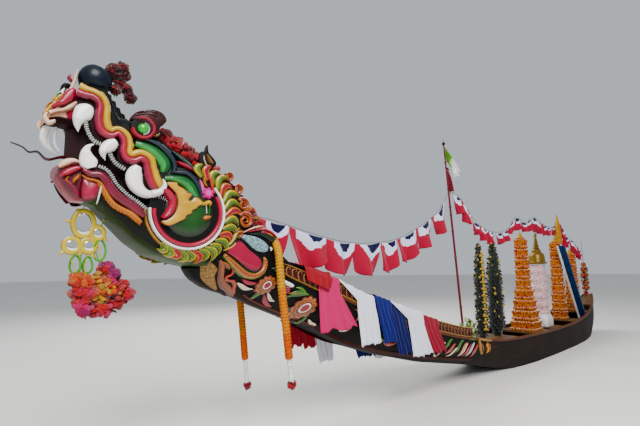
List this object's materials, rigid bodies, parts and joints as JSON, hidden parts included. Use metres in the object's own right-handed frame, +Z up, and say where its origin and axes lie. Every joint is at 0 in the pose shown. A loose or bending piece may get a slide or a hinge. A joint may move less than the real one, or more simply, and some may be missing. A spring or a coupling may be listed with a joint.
{
  "type": "dragon boat",
  "caption": "Wooden long boat with a carved dragon head on a rising neck, dressed for a procession with draped cloths, bunting on a mast, tiered towers, garlands and a hanging chin ornament.",
  "frame": {"origin": "on the centreline at the height of the water, 3 m ahead of the stern", "axes": "+X to the bow, +Y to port, +Z up"},
  "size_m": [13.482, 1.08, 4.39],
  "materials": {
    "hull_paint": "dark weathered paint over planks, semi-gloss",
    "rail_wood": "brown varnish, worn at the edges",
    "deck_wood": "worn boards",
    "fret_wood": "carved board, red-brown with tan edges",
    "black_lacquer": "black-green lacquer over carved wood",
    "green_lacquer": "green gloss paint over carved wood",
    "throat_green": "dark green gloss paint",
    "crimson_lacquer": "crimson gloss paint over carved wood",
    "gold_paint": "gold paint over carved wood",
    "ivory_paint": "white gloss paint, cream in the hollows",
    "navy_glass": "dark navy gloss",
    "flower_red": "cloth flowers, dark red",
    "marigold": "orange and red flowers",
    "cloth_pink": "thin satin cloth",
    "cloth_white": "thin satin cloth",
    "cloth_blue": "thin satin cloth",
    "cloth_red": "thin satin cloth",
    "flag_red": "thin printed flag cloth",
    "mast_paint": "red paint, banded",
    "tier_paper": "cut paper tiers over a frame",
    "leaf_green": "dark artificial leaves",
    "mirror_gold": "small mirrors in a yellow frame"
  },
  "bodies": {
    "root": {"hull": "hull_paint", "rail_port": "rail_wood", "rail_stbd": "rail_wood", "fore_deck": "deck_wood", "aft_deck": "deck_wood", "seat_1": "deck_wood", "seat_2": "deck_wood", "seat_3": "deck_wood", "seat_4": "deck_wood", "seat_5": "deck_wood", "fretwork_port": "fret_wood", "fretwork_stbd": "fret_wood", "neck": "black_lacquer", "tongue": "black_lacquer", "comb": "black_lacquer", "skull": "green_lacquer", "jaw_plate_port": "green_lacquer", "jaw_plate_stbd": "green_lacquer", "lower_jaw": "throat_green", "chin_pouch": "crimson_lacquer", "lower_lip_port": "crimson_lacquer", "lower_lip_stbd": "crimson_lacquer", "eye_port": "crimson_lacquer", "eye_stbd": "crimson_lacquer", "name_plate_port": "crimson_lacquer", "name_plate_stbd": "crimson_lacquer", "nose_scroll": "gold_paint", "upper_lip_port": "gold_paint", "upper_lip_stbd": "gold_paint", "mane_port": "gold_paint", "mane_stbd": "gold_paint", "stupa": "gold_paint", "upper_teeth_port": "ivory_paint", "upper_teeth_stbd": "ivory_paint", "lower_teeth_port": "ivory_paint", "lower_teeth_stbd": "ivory_paint", "nose_ball": "navy_glass", "head_flowers": "flower_red", "neck_flowers": "flower_red", "ball_flowers": "flower_red", "stern_plume": "flower_red", "garland_port": "marigold", "garland_stbd": "marigold", "bow_carving_port": "marigold", "bow_carving_stbd": "marigold", "cloth_pink": "cloth_pink", "cloth_white_fore": "cloth_white", "cloth_white_aft": "cloth_white", "cloth_blue": "cloth_blue", "cloth_red": "cloth_red", "bunting_fore": "flag_red", "bunting_aft": "flag_red", "mast_flags": "flag_red", "mast": "mast_paint", "tower_fore": "tier_paper", "tower_mid": "tier_paper", "tower_aft": "tier_paper", "tree_fore": "leaf_green", "tree_aft": "leaf_green"},
    "pendant": {"pendant": "mirror_gold"}
  },
  "joints": [
    {"name": "pendant_swing", "type": "hinge", "parent": "root", "child": "pendant", "pos_m": [9.811, 0, 2.2136], "axis": [0, -1, 0], "range_deg": [-28, 7]}
  ]
}
